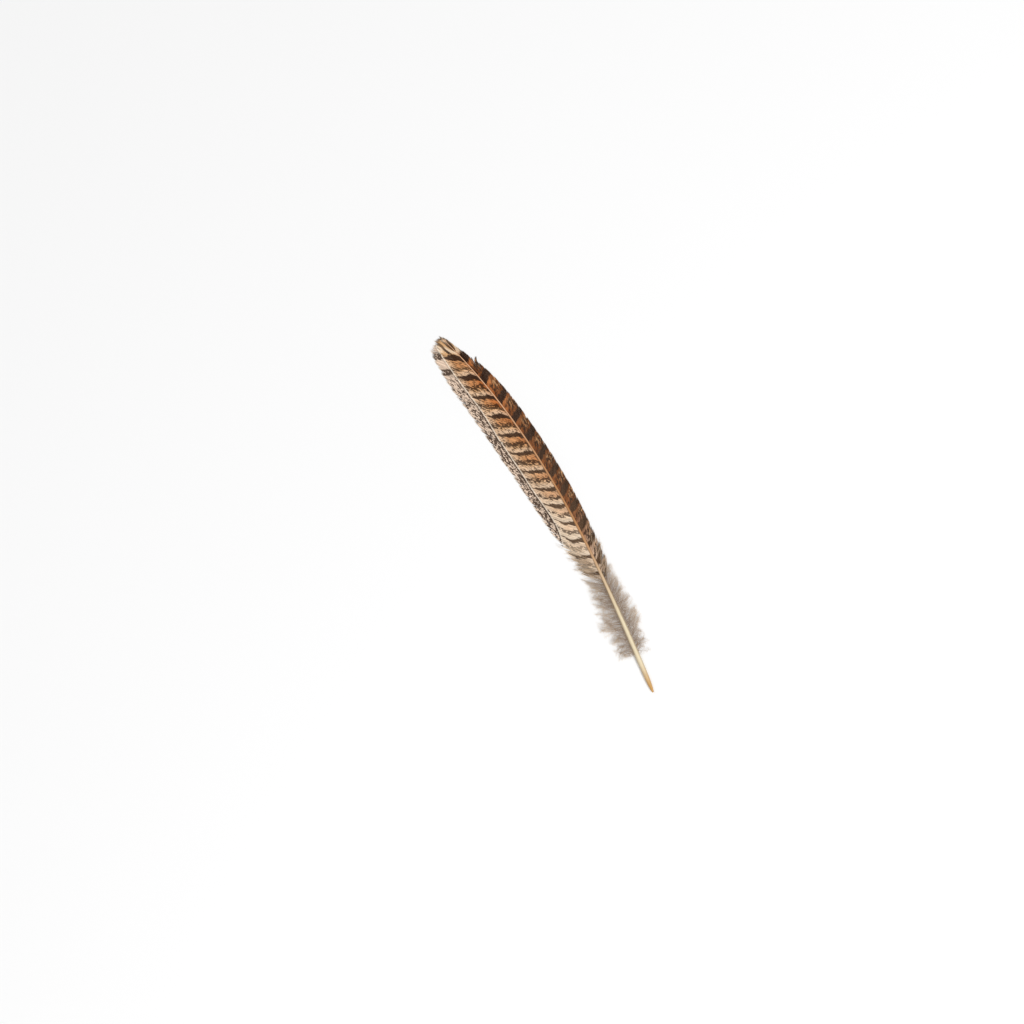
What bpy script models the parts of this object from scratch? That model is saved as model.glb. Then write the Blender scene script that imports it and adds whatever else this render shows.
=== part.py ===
"""A pheasant's tail feather, lying on a surface with its upper side up.

It grew as one piece, so it is one closed solid: a bowed, tapering shaft with a bare quill at
one end, a broad and a narrow vane that part into locks along their margins, and loose downy
locks between the vanes and the quill. The tip points to +X, the broad vane lies to +Y, and
the vanes' margins rest on the plane z = 0. Distances called "down" run from the tip of the
feather towards the end of its quill, and "out" runs sideways from the shaft.
"""

import math
import random

import bmesh
import bpy

MM = 0.001

LENGTH = 190 * MM
SHAFT_START = 3 * MM
DOWN_START = 133 * MM
QUILL_START = 172 * MM

BOW = 10.5 * MM
BOW_SKEW = 0.8
BOX_SHIFT = 4.645 * MM

VANE_THICKNESS = 0.45 * MM
FLAT_MARGIN = 0.82

# Each list gives (mm down from the tip, mm) for a soft curve.
SHAFT_RADIUS = [(3, 0.15), (25, 0.32), (70, 0.56), (120, 0.9), (160, 1.2), (172, 1.26),
                (182, 1.14), (187, 0.85), (190, 0.4)]
SHAFT_HEIGHT = [(0, 0.4), (12, 1.1), (32, 2.1), (62, 3.1), (95, 3.52), (130, 3.2),
                (152, 2.5), (170, 1.65), (181, 1.2), (190, 1.05)]
BROAD_WIDTH = [(0, 0), (0.5, 2.0), (1.7, 4.4), (4.7, 8.5), (11, 10.9), (28, 13.9), (62, 14.9),
               (97, 13.2), (112, 11.0), (126, 8.8), (140, 8.6), (154, 10.5), (163, 9.5),
               (170, 6.5)]
BROAD_REACH = [(3, 3), (8, 7.4), (14, 11.8), (25, 17.3), (40, 21.5), (70, 23), (100, 18.5),
               (120, 12.5), (140, 6.5), (160, 4.5), (173, 2.5)]
NARROW_WIDTH = [(0, 0), (0.8, 0.9), (4, 1.4), (7, 1.8), (15, 3.4), (26, 5.6), (42, 6.5),
                (90, 6.5), (118, 5.9), (132, 5.8), (145, 7.4), (158, 8.6), (165, 7.6),
                (170, 5.6)]
NARROW_REACH = [(3, 3), (8, 6.4), (14, 9.4), (40, 12), (70, 12), (100, 10), (120, 8),
                (140, 5.5), (160, 4), (173, 2.5)]

BARB_LEAN = (0.42, 0.56)
RIDGE_ON_SHAFT = 0.25
BROAD_DROP = 1.7
NARROW_DROP = 2.3

# The gaps between locks, as (mm down from the tip, share of the barb or of the lock's width).
GAP_START = [(3, 0.8), (110, 0.78), (133, 0.5), (145, 0.3), (172, 0.22)]
GAP_PULL = [(3, 0.12), (110, 0.16), (133, 0.35), (145, 0.62), (172, 0.72)]
LOCK_SHORTNESS = [(3, 0.015), (120, 0.03), (145, 0.16), (172, 0.2)]

VANE_LOCKS = 28
DOWN_LOCKS = 11
LOCK_UNEVENNESS = 0.22
GAP_UNEVENNESS = 0.15
LOCK_ROUNDING = 0.025
LOCK_SEED = 7

BARB_ROWS = (0, 0.17, 0.34, 0.5, 0.66, 0.75, 0.84, 0.92, 1)
SHAFT_SIDES = 12
SHAFT_RINGS = 46
SHAFT_CROWDING = 1.25
SMOOTH_ANGLE = math.radians(40)

FEATHER_COLOUR = (0.36, 0.2, 0.1, 1)
FEATHER_ROUGHNESS = 0.6


def blend(points, down):
    """The value at a distance in metres on a soft curve through (mm, value) points."""
    at = min(max(down / MM, points[0][0]), points[-1][0])
    i = next(k for k in range(len(points) - 1) if at <= points[k + 1][0])
    steps = [(b[1] - a[1]) / (b[0] - a[0]) for a, b in zip(points, points[1:])]

    def slope(k):
        if k in (0, len(points) - 1):
            return steps[min(k, len(steps) - 1)]
        before, after = steps[k - 1], steps[k]
        return 0 if before * after <= 0 else 2 * before * after / (before + after)

    span = points[i + 1][0] - points[i][0]
    t = (at - points[i][0]) / span
    straight = points[i][1] + (points[i + 1][1] - points[i][1]) * t * t * (3 - 2 * t)
    return straight + t * (1 - t) * ((1 - t) * slope(i) - t * slope(i + 1)) * span


def length_at(points, down):
    return blend(points, down) * MM


def shaft_side(down):
    return BOX_SHIFT - BOW * math.sin(math.pi * (max(down, 0) / LENGTH) ** BOW_SKEW)


def place(down, out, height):
    """World position of a point given by its distance down, out and above the surface."""
    return (LENGTH / 2 - down, shaft_side(down) + out, height)


class Vane:
    """One side of the feather: its outline and how its barbs run and droop."""

    def __init__(self, name, sign, width, reach, drop):
        self.name = name
        self.sign = sign
        self.width = width
        self.reach = reach
        self.drop = drop

    def underside(self, down, out):
        """Height of the underside: highest at the shaft, flat on the surface at the margin."""
        width = length_at(self.width, down)
        across = min(out / (width * FLAT_MARGIN), 1) if width > 0 else 0
        ridge = length_at(SHAFT_HEIGHT, down) + RIDGE_ON_SHAFT * length_at(SHAFT_RADIUS, down)
        return max(ridge - VANE_THICKNESS, 0) * (1 - across ** self.drop)

    def barb_point(self, root, r):
        """Distances down and out of the point at share r of the barb that leaves at root."""
        reach = length_at(self.reach, root)
        width = length_at(self.width, root - reach)
        middle = 2 * r * (1 - r)
        down = root - reach * (middle * BARB_LEAN[0] + r * r)
        return down, width * (middle * BARB_LEAN[1] + r * r)

    def lock_point(self, lock, edge, r):
        """A point on a lock's edge barb, or on its middle barb where edge is None.

        Past the gap's start the edges are drawn in towards the middle and fall short of it.
        """
        middle = (lock["start"] + lock["end"]) / 2
        root = middle if edge is None else edge["root"]
        gap = lock["gap"] if edge is None else edge["gap"]
        past = max(r - gap, 0) / (1 - gap)
        r -= lock["short"] * past
        if edge is None:
            return self.barb_point(root, r)
        r -= LOCK_ROUNDING * past
        down, out = self.barb_point(root, r)
        mid_down, mid_out = self.barb_point(middle, r)
        share = edge["pull"] * past
        return down + (mid_down - down) * share, out + (mid_out - out) * share


BROAD = Vane("broad", 1, BROAD_WIDTH, BROAD_REACH, BROAD_DROP)
NARROW = Vane("narrow", -1, NARROW_WIDTH, NARROW_REACH, NARROW_DROP)


def lock_roots(dice):
    """Where each lock's first barb leaves the shaft, with the last lock's end added."""
    roots = []
    for start, end, count in (
        (SHAFT_START, DOWN_START, VANE_LOCKS),
        (DOWN_START, QUILL_START, DOWN_LOCKS),
    ):
        step = (end - start) / count
        for i in range(count):
            shake = dice.uniform(-LOCK_UNEVENNESS, LOCK_UNEVENNESS) if i else 0
            roots.append(start + (i + shake) * step)
    return roots + [QUILL_START]


def lock_edges(roots, dice):
    """For each root, how far out the gap beside it starts and how far it opens."""
    edges = []
    for root in roots:
        start = blend(GAP_START, root) * dice.uniform(1 - GAP_UNEVENNESS, 1 + GAP_UNEVENNESS)
        pull = blend(GAP_PULL, root) * dice.uniform(1 - GAP_UNEVENNESS, 1 + GAP_UNEVENNESS)
        edges.append({"root": root, "gap": start, "pull": pull})
    return edges


def add_vane(bm, vane, roots, dice, shared):
    """Adds one vane's faces. Neighbouring locks share their vertices up to the gap."""
    edges = lock_edges(roots, dice)

    def vertex(key, down, out):
        if key not in shared:
            height = vane.underside(down, out)
            shared[key] = bm.verts.new(place(down, vane.sign * out, height))
        return shared[key]

    for i, (start, end) in enumerate(zip(edges, edges[1:])):
        lock = {
            "start": start["root"],
            "end": end["root"],
            "gap": (start["gap"] + end["gap"]) / 2,
            "short": blend(LOCK_SHORTNESS, start["root"]) * dice.random(),
        }

        def column(k, edge):
            verts = []
            for row, r in enumerate(BARB_ROWS):
                if row == 0:
                    key = ("root", k)
                elif k == 0:
                    key = ("tip", row)
                else:
                    parted = edge is None or r > edge["gap"]
                    key = (vane.name, k, row, i if parted else None)
                if k == 0:
                    verts.append(vertex(key, *vane.barb_point(edge["root"], r)))
                else:
                    verts.append(vertex(key, *vane.lock_point(lock, edge, r)))
            return verts

        columns = [column(2 * i, start), column(2 * i + 1, None), column(2 * i + 2, end)]
        for near, far in zip(columns, columns[1:]):
            for row in range(len(BARB_ROWS) - 1):
                corners = [near[row], near[row + 1], far[row + 1], far[row]]
                bm.faces.new(corners[:: vane.sign])


def build_vanes():
    """Both vanes and the down as one sheet of even thickness."""
    dice = random.Random(LOCK_SEED)
    roots = lock_roots(dice)
    bm = bmesh.new()
    shared = {}
    for vane in (BROAD, NARROW):
        add_vane(bm, vane, roots, dice, shared)
    raised = bmesh.ops.extrude_face_region(bm, geom=bm.faces[:])["geom"]
    verts = [item for item in raised if isinstance(item, bmesh.types.BMVert)]
    bmesh.ops.translate(bm, verts=verts, vec=(0, 0, VANE_THICKNESS))
    bmesh.ops.recalc_face_normals(bm, faces=bm.faces[:])
    return finish_mesh(bm, "feather")


def build_shaft():
    """The shaft as one bowed tube, from a thin tip to the rounded end of the quill."""
    bm = bmesh.new()
    rings = []
    for i in range(SHAFT_RINGS + 1):
        share = 1 - (1 - i / SHAFT_RINGS) ** SHAFT_CROWDING
        down = SHAFT_START + (LENGTH - SHAFT_START) * share
        radius = length_at(SHAFT_RADIUS, down)
        ring = []
        for k in range(SHAFT_SIDES):
            turn = 2 * math.pi * (k + 0.5) / SHAFT_SIDES
            height = length_at(SHAFT_HEIGHT, down) + radius * math.sin(turn)
            ring.append(bm.verts.new(place(down, radius * math.cos(turn), height)))
        rings.append(ring)
    for ring, following in zip(rings, rings[1:]):
        for k in range(SHAFT_SIDES):
            j = (k + 1) % SHAFT_SIDES
            bm.faces.new((ring[k], ring[j], following[j], following[k]))
    bm.faces.new(rings[0])
    bm.faces.new(rings[-1])
    bmesh.ops.recalc_face_normals(bm, faces=bm.faces[:])
    return finish_mesh(bm, "shaft_guide")


def finish_mesh(bm, name):
    mesh = bpy.data.meshes.new(name)
    bm.to_mesh(mesh)
    bm.free()
    mesh.shade_smooth()
    mesh.set_sharp_from_angle(angle=SMOOTH_ANGLE)
    piece = bpy.data.objects.new(name, mesh)
    bpy.context.scene.collection.objects.link(piece)
    return piece


def feather_material():
    material = bpy.data.materials.new("barred_feather")
    material.use_nodes = True
    surface = material.node_tree.nodes["Principled BSDF"]
    surface.inputs["Base Color"].default_value = FEATHER_COLOUR
    surface.inputs["Roughness"].default_value = FEATHER_ROUGHNESS
    surface.inputs["Metallic"].default_value = 0
    return material


def main():
    for piece in list(bpy.data.objects):
        bpy.data.objects.remove(piece, do_unlink=True)
    shaft = build_shaft()
    shaft.hide_render = True
    shaft.display_type = "WIRE"
    feather = build_vanes()
    feather.data.materials.append(feather_material())
    join = feather.modifiers.new("grow_on_shaft", "BOOLEAN")
    join.operation = "UNION"
    join.solver = "EXACT"
    join.object = shaft


main()
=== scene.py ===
"""A pheasant's tail feather, dressed barb by barb over its plain solid.

The feather lies with its upper side up, its tip towards +X and its broad vane towards +Y.
"Down" is a distance in mm from the tip towards the end of the quill, and "out" is a distance
in mm sideways from the middle of the shaft. The shaft, both vanes and the down follow the
same curves as the solid.
"""

import math
import random

import bmesh
import bpy
import numpy as np
from bpy.props import FloatProperty, FloatVectorProperty, IntProperty, PointerProperty
from mathutils import Matrix, Vector


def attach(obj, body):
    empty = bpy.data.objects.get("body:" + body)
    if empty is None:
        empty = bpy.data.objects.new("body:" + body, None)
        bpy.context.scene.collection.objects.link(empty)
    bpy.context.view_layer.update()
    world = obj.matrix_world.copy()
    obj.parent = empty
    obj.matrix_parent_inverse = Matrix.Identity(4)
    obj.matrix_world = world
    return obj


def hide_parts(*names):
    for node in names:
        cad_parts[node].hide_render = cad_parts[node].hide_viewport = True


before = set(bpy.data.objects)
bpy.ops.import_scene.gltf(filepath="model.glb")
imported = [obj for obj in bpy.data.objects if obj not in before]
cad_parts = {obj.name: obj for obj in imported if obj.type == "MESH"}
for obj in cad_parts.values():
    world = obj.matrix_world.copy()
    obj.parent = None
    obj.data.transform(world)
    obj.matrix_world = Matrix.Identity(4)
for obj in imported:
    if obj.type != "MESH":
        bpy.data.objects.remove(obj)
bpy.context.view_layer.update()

bl_info = {
    "name": "Barred Tail Feather",
    "version": (1, 0, 0),
    "blender": (4, 5, 0),
    "location": "View3D > Sidebar > Feather",
    "description": "Makes a barred tail feather from its shaft, barbs and down",
    "category": "Add Mesh",
}

MM = 0.001

# The solid's own sizes, in mm.
LENGTH = 190
SHAFT_START = 3
DOWN_START = 133
QUILL_START = 172
BOW = 10.5
BOW_SKEW = 0.8
BOX_SHIFT = 4.645
SHEET_THICKNESS = 0.45
FLAT_MARGIN = 0.82
RIDGE_ON_SHAFT = 0.25
BARB_LEAN = (0.42, 0.56)

# Each list gives (mm down from the tip, value) for a soft curve.
SHAFT_RADIUS = [(3, 0.15), (25, 0.32), (70, 0.56), (120, 0.9), (160, 1.2), (172, 1.26),
                (182, 1.14), (187, 0.85), (190, 0.4)]
SHAFT_HEIGHT = [(0, 0.4), (12, 1.1), (32, 2.1), (62, 3.1), (95, 3.52), (130, 3.2),
                (152, 2.5), (170, 1.65), (181, 1.2), (190, 1.05)]
BROAD_WIDTH = [(0, 0), (0.5, 2.0), (1.7, 4.4), (4.7, 8.5), (11, 10.9), (28, 13.9), (62, 14.9),
               (97, 13.2), (112, 11.0), (126, 8.8), (140, 8.6), (154, 10.5), (163, 9.5),
               (170, 6.5)]
BROAD_REACH = [(3, 3), (8, 7.4), (14, 11.8), (25, 17.3), (40, 21.5), (70, 23), (100, 18.5),
               (120, 12.5), (140, 6.5), (160, 4.5), (173, 2.5)]
NARROW_WIDTH = [(0, 0), (0.8, 0.9), (4, 1.4), (7, 1.8), (15, 3.4), (26, 5.6), (42, 6.5),
                (90, 6.5), (118, 5.9), (132, 5.8), (145, 7.4), (158, 8.6), (165, 7.6),
                (170, 5.6)]
NARROW_REACH = [(3, 3), (8, 6.4), (14, 9.4), (40, 12), (70, 12), (100, 10), (120, 8),
                (140, 5.5), (160, 4), (173, 2.5)]
GAP_START = [(3, 0.8), (110, 0.78), (133, 0.5), (145, 0.3), (172, 0.22)]
GAP_PULL = [(3, 0.12), (110, 0.16), (133, 0.35), (145, 0.62), (172, 0.72)]
LOCK_SHORTNESS = [(3, 0.015), (120, 0.03), (145, 0.16), (172, 0.2)]
VANE_LOCKS = 28
DOWN_LOCKS = 11
LOCK_UNEVENNESS = 0.22
GAP_UNEVENNESS = 0.15
LOCK_ROUNDING = 0.025
LOCK_SEED = 7

# The shaft: the groove below it, as a share of its radius, how far the groove spreads, how
# flat the shaft's top is, and the rings of the opening, as (mm inside the end, share of width).
SHAFT_GROOVE = [(3, 0), (14, 0.5), (120, 0.45), (160, 0.3), (171, 0), (190, 0)]
GROOVE_SPREAD = 0.22
SHOULDER = 0.2
QUILL_OPENING = [(0.1, 0.62), (0.9, 0.5), (1.6, 0.42)]

# The shaft's mesh: its sides, how many rings it has as far as the quill's last taper and in it,
# and where in mm down the first ones end and the others start.
SHAFT_SIDES = 24
SHAFT_RINGS = (150, 22)
LAST_TAPER = (180, 180.6)

# How the shaft swells and shrinks along it, as (share of its radius, radians for each mm).
SWELLS = [(0.012, 1.7), (0.008, 4.1)]

# How far out the pale line runs that parts the barred web from the freckled margin.
PALE_LINE = [(0, 2.0), (4.6, 5.0), (25, 8.2), (42, 9.0), (57, 10.2), (80, 9.9), (102, 8.3),
             (113, 9.8), (134, 12)]

# How far a barb strays from its neighbours, in mm at its end, and how much of its width it has.
LOOSENESS = [(3, 0.9), (10, 0.6), (20, 0.22), (100, 0.22), (118, 0.8), (134, 2.2)]
BARB_FULLNESS = [(3, 0.8), (16, 1), (116, 1), (134, 0.5)]

# The largest share by which the foremost barbs fall short, which blunts the tip.
TIP_TRIM = [(3, 0.55), (5, 0.34), (8, 0.08), (11, 0)]

# How frayed the ends of the barbs are, and how much shorter and longer-pointed that makes them.
FRAYING = [(3, 1), (14, 0.7), (30, 0.1), (100, 0.1), (134, 0.6)]
SHORTENING = (0.004, 0.03)
POINT_LENGTH = (0.05, 0.25)

# Further habits of the barbs, in mm or as shares.
VANE_OVERLAP = 1.5
ROOT_UNEVENNESS = 0.08
SWAY_TOGETHER = 0.7
SWAY_ALONE = 0.22
STRAY_REACH = 0.9
STRAY_LIFT = 0.25
BROKEN_SHARE = 0.02
BROKEN_LENGTHS = (0.9, 0.97)
LOCK_TILT = 0.18
BARB_HEAVE = 0.02
CLIMB_ON_SHAFT = 0.62
BARB_HALF_WIDTHS = (0.03, 0.4)
BARB_THINNING = 0.55

# A few barbs of the narrow vane stick out in a small dark tuft.
TUFT_PLACE = 17.4
TUFT_SPREAD = 0.9
TUFT_REACH = 1.8

# The down: how large its barbules are and how much its barbs curl along the shaft, the ranges
# of their waves, lengths and heights, its barbs' loss of width by their end, and their depth as
# a share of their width.
FLUFF = [(120, 0.25), (133, 0.8), (145, 1), (172, 1)]
DOWN_CURL = [(120, 0.3), (140, 0.9), (172, 1.3)]
DOWN_POINTS = 16
DOWN_UNEVENNESS = 0.4
DOWN_WAVES = (0.5, 1.3)
DOWN_HOOK = 3.5
DOWN_LENGTHS = (0.65, 1.2)
DOWN_HEAVE = (-0.3, 1.8)
DOWN_THINNING = 9 / 14
DOWN_FLATNESS = 0.8

# Bar number = (a * s + b) * s + c, where s is mm down along the bars' slant.
BAR_NUMBERS = (1.755e-4, 0.07692, -1.1175)

# Where along s a bar has its full thickness, and over how many mm on each side what it has more
# than the last bar shrinks to about a third.
FULL_BAR = 13
BROAD_THINNING = 30
NARROW_THINNING = 70

# Where along s the freckled margin has two dark blotches near the tip.
MARGIN_BLOTCHES = (13, 22.5)

# How far the bars lean towards the tip for each mm out, and how much lower the narrow vane's
# bars lie at the tip and, on top of that, further down.
BROAD_SLANT = 0.46
NARROW_SLANT = 0.6
NARROW_LAG = (1.6, 1.9)

# Where the row of dark marks after the first bar lies on each side, as a value of s.
BROAD_FIRST_ROW = 20.9
NARROW_FIRST_ROW = 20.4

# The reference picture: where the tip and the quill's end lie in it, in pixels.
PICTURE_SIDE = 1024
TIP_PIXEL = (437, 335)
QUILL_PIXEL = (653, 692)
LENS = 85
SENSOR = 36

# Each lamp's bearing and height in degrees, and its distance in metres.
KEY_LAMP = (-40, 48, 2.4)
FILL_LAMP = (150, 55, 3.0)

# No point lies lower than this, and points closer than this become one, in mm.
LOWEST = 0.02
SAME_POINT = 0.0005

# The bake map and its layout: where a barb's column starts and how far it runs.
BAKE_MAP = "OFBake"
MAP_UPPER = (0.03, 0.57)
MAP_LOWER = (0.65, 0.3)
MAP_ALONG = (0.02, 0.96)

# Places of the sockets that have no name of their own.
MIX_FACTOR, MIX_A, MIX_B, MIX_COLOUR = 0, 6, 7, 2
RANDOM_MIN, RANDOM_MAX, RANDOM_SEED, RANDOM_VALUE = 2, 3, 8, 1


def paint(code):
    """A linear colour from its usual six-figure code."""
    shares = [int(code[i:i + 2], 16) / 255 for i in (0, 2, 4)]
    linear = [s / 12.92 if s <= 0.04045 else ((s + 0.055) / 1.055) ** 2.4 for s in shares]
    return (*linear, 1.0)


def size(name, description, default_mm):
    return FloatProperty(name=name, description=description, default=default_mm * MM, min=0,
                         precision=6, subtype="DISTANCE", unit="LENGTH")


def share(name, description, default):
    return FloatProperty(name=name, description=description, default=default, min=0,
                         soft_max=1, subtype="FACTOR")


def colour(name, description, code):
    return FloatVectorProperty(name=name, description=description, default=paint(code),
                               size=4, min=0, max=1, subtype="COLOR")


class VaneSettings(bpy.types.PropertyGroup):
    barb_spacing: size("Barb spacing", "Distance between barbs along the shaft", 0.42)
    barb_depth: size("Barb depth", "Half of a barb's thickness at the shaft", 0.11)
    barb_overlap: FloatProperty(name="Barb overlap", description="Barb width over its spacing",
                                default=1.4, min=1)
    barb_points: IntProperty(name="Barb points", description="Points along a barb",
                             default=25, min=6)
    stray_barbs: share("Stray barbs", "Share of the barbs that stand out of line", 0.03)
    first_bar: size("First bar", "Half of the thickness of the bar next to the tip", 1.95)
    last_bar: size("Last bar", "Half of the thickness of the lowest bars", 0.92)
    bars: colour("Bars", "Dark brown of the bars near the tip", "311608")
    low_bars: colour("Low bars", "Brown of the lowest bars", "4f3520")
    freckles: colour("Freckles", "Brown of the freckles and dashes", "331a0b")
    buff: colour("Buff", "Pale ground before each bar", "d8a878")
    tan: colour("Tan", "Orange ground after each bar", "c27a44")
    rust: colour("Rust", "Rusty ground next to the shaft", "a85a22")
    cream: colour("Cream", "Ground of the lower vane", "f4dcc0")
    margin: colour("Margin", "Ground of the freckled margin", "e3cab4")
    sand: colour("Sand", "Pale ground of the tip", "d4aa7c")
    line: colour("Line", "Pale line and pale edges", "f0e0cc")
    chestnut: colour("Chestnut", "Ground of the narrow vane", "8a4d20")
    underside: colour("Underside", "Pale grey-brown of the lower side", "b9a68f")


class ShaftSettings(bpy.types.PropertyGroup):
    tip: colour("Tip", "Shaft near the tip of the feather", "e8b48a")
    middle: colour("Middle", "Shaft between the vanes", "b78353")
    quill: colour("Quill", "Ivory of the bare quill", "e3d3b2")
    end: colour("End", "Honey colour of the quill's end", "c18f45")
    # Partly the shaft's own brown and partly painted shade on its round sides.
    sides: colour("Sides", "Brown along the shaft's sides", "60391c")
    groove: colour("Groove", "Pith that shows in the groove below", "efe6d2")


class DownSettings(bpy.types.PropertyGroup):
    ramus_spacing: size("Stem spacing", "Distance between downy barbs along the shaft", 0.4)
    ramus_width: size("Stem width", "Half of a downy barb's thickness at its root", 0.07)
    barbule_spacing: size("Barbule spacing", "Distance between barbules on a barb", 0.11)
    barbule_length: size("Barbule length", "Length of the longest barbules", 1.6)
    barbule_width: size("Barbule width", "Half of a barbule's thickness at its root", 0.019)
    base: colour("Base", "Brown of the down next to the shaft", "967553")
    tips: colour("Tips", "Pale tips of the down", "ebd2b0")


class StageSettings(bpy.types.PropertyGroup):
    floor: colour("Floor", "Plain pale floor", "f4f4f4")
    floor_side: size("Floor side", "Length of the floor's sides", 6000)
    key_power: FloatProperty(name="Key light", description="Power of the key light",
                             default=44.0, min=0, unit="POWER")
    fill_power: FloatProperty(name="Fill light", description="Power of the fill light",
                              default=19.0, min=0, unit="POWER")
    key_side: size("Key size", "Side of the square key light", 1000)
    sky: FloatProperty(name="Sky", description="Strength of the even light all round",
                       default=0.42, min=0)


class Wire:
    """An output socket. Operators between it and numbers or other wires add Math nodes."""

    def __init__(self, maker, socket):
        self.maker = maker
        self.socket = socket

    def other(self, name):
        return Wire(self.maker, self.socket.node.outputs[name])

    def math(self, operation, *others):
        return maths(self.maker, operation, self, *others)

    def ramp(self, low, high):
        """0 where the value is under low, 1 over high, and a soft step between."""
        return self.maker.add("ShaderNodeMapRange", {"interpolation_type": "SMOOTHSTEP"},
                              {"Value": self, "From Min": low, "From Max": high})

    def __add__(self, other):
        return self.math("ADD", other)

    __radd__ = __add__

    def __sub__(self, other):
        return self.math("SUBTRACT", other)

    def __rsub__(self, other):
        return maths(self.maker, "SUBTRACT", other, self)

    def __mul__(self, other):
        return self.math("MULTIPLY", other)

    __rmul__ = __mul__

    def __truediv__(self, other):
        return self.math("DIVIDE", other)

    def __rtruediv__(self, other):
        return maths(self.maker, "DIVIDE", other, self)

    def __abs__(self):
        return self.math("ABSOLUTE")


def maths(maker, operation, *values):
    return maker.add("ShaderNodeMath", {"operation": operation}, dict(enumerate(values)))


class Maker:
    """Adds nodes to a material's tree or a geometry tree."""

    def __init__(self, tree):
        self.tree = tree

    def add(self, kind, settings=None, values=None, output=0):
        """A node with its settings made first and its sockets filled with values or links."""
        node = self.tree.nodes.new(kind)
        for name, value in (settings or {}).items():
            setattr(node, name, value)
        for key, value in (values or {}).items():
            if isinstance(value, Wire):
                self.tree.links.new(value.socket, node.inputs[key])
            else:
                node.inputs[key].default_value = value
        return Wire(self, node.outputs[output]) if node.outputs else None

    def split(self, vector):
        x = self.add("ShaderNodeSeparateXYZ", values={0: vector})
        return x, x.other("Y"), x.other("Z")

    def join(self, x, y, z):
        return self.add("ShaderNodeCombineXYZ", values={0: x, 1: y, 2: z})

    def vectors(self, operation, a, b):
        """Vector maths, where b is a number for SCALE and else a vector."""
        second = "Scale" if operation == "SCALE" else 1
        return self.add("ShaderNodeVectorMath", {"operation": operation}, {0: a, second: b})

    def mix(self, base, colour, factor):
        return self.add("ShaderNodeMix", {"data_type": "RGBA"},
                        {MIX_FACTOR: factor, MIX_A: base, MIX_B: colour}, MIX_COLOUR)

    def stored(self, name):
        """The three numbers of an attribute that the piece carries."""
        read = self.add("ShaderNodeAttribute", {"attribute_name": name}, output="Vector")
        return self.split(read)

    def noise(self, across, along, seed, sizes, detail=2.0):
        """Soft noise from 0 to 1 with grains of the given sizes across and along."""
        place = self.join(across / sizes[0], along / sizes[1], seed)
        return self.add("ShaderNodeTexNoise", values={"Vector": place, "Scale": 1.0,
                                                      "Detail": detail})


def soft_curve(points, at):
    """Values at the given places on the soft curve through (place, value) points."""
    x, y = np.array(points, float).T
    steps = np.diff(y) / np.diff(x)
    same = steps[:-1] * steps[1:] > 0
    total = np.where(same, steps[:-1] + steps[1:], 1)
    inner = np.where(same, 2 * steps[:-1] * steps[1:] / total, 0)
    slopes = np.concatenate([steps[:1], inner, steps[-1:]])
    at = np.clip(at, x[0], x[-1])
    i = np.clip(np.searchsorted(x, at) - 1, 0, len(x) - 2)
    span = x[i + 1] - x[i]
    t = (at - x[i]) / span
    straight = y[i] + (y[i + 1] - y[i]) * t * t * (3 - 2 * t)
    return straight + t * (1 - t) * ((1 - t) * slopes[i] - t * slopes[i + 1]) * span


def shaft_side(down):
    """How far the bowed shaft's middle lies to +Y."""
    bend = np.sin(math.pi * (np.maximum(down, 0) / LENGTH) ** BOW_SKEW)
    return BOX_SHIFT - BOW * bend


def place(down, out, height):
    """Points in the frame, in mm, from distances down, out and above the surface."""
    return np.stack([LENGTH / 2 - down, shaft_side(down) + out, height], axis=-1)


class Vane:
    """One side of the feather: its outline and how its barbs run and droop."""

    def __init__(self, sign, width, reach, drop, line):
        self.sign = sign
        self.width = width
        self.reach = reach
        self.drop = drop
        self.line = line

    def underside(self, down, out):
        """Height of the solid's underside, flat on the surface at the margin."""
        width = np.maximum(soft_curve(self.width, down), 0.01)
        across = np.clip(out / (width * FLAT_MARGIN), 0, 1)
        ridge = soft_curve(SHAFT_HEIGHT, down) + RIDGE_ON_SHAFT * soft_curve(SHAFT_RADIUS, down)
        return np.maximum(ridge - SHEET_THICKNESS, 0) * (1 - across ** self.drop)

    def barb_point(self, root, r):
        """Distances down and out of the point at share r of the barb that leaves at root."""
        reach = soft_curve(self.reach, root)
        width = soft_curve(self.width, root - reach)
        middle = 2 * r * (1 - r)
        down = root - reach * (middle * BARB_LEAN[0] + r * r)
        return down, width * (middle * BARB_LEAN[1] + r * r)


BROAD = Vane(1, BROAD_WIDTH, BROAD_REACH, 1.7, PALE_LINE)
NARROW = Vane(-1, NARROW_WIDTH, NARROW_REACH, 2.3, NARROW_WIDTH)


def draw_locks():
    """Each vane's locks: their borders, gaps, pulls and shortness, drawn as in the solid."""
    dice = random.Random(LOCK_SEED)
    roots = []
    for start, end, count in ((SHAFT_START, DOWN_START, VANE_LOCKS),
                              (DOWN_START, QUILL_START, DOWN_LOCKS)):
        for i in range(count):
            shake = dice.uniform(-LOCK_UNEVENNESS, LOCK_UNEVENNESS) if i else 0
            roots.append(start + (i + shake) * (end - start) / count)
    roots = np.array(roots + [QUILL_START])
    locks = {}
    for vane in (BROAD, NARROW):
        low, high = 1 - GAP_UNEVENNESS, 1 + GAP_UNEVENNESS
        edges = np.array([[dice.uniform(low, high), dice.uniform(low, high)] for _ in roots])
        short = np.array([dice.random() for _ in roots[1:]])
        locks[vane] = {
            "roots": roots,
            "gap": soft_curve(GAP_START, roots) * edges[:, 0],
            "pull": soft_curve(GAP_PULL, roots) * edges[:, 1],
            "short": soft_curve(LOCK_SHORTNESS, roots[:-1]) * short,
        }
    return locks


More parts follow.
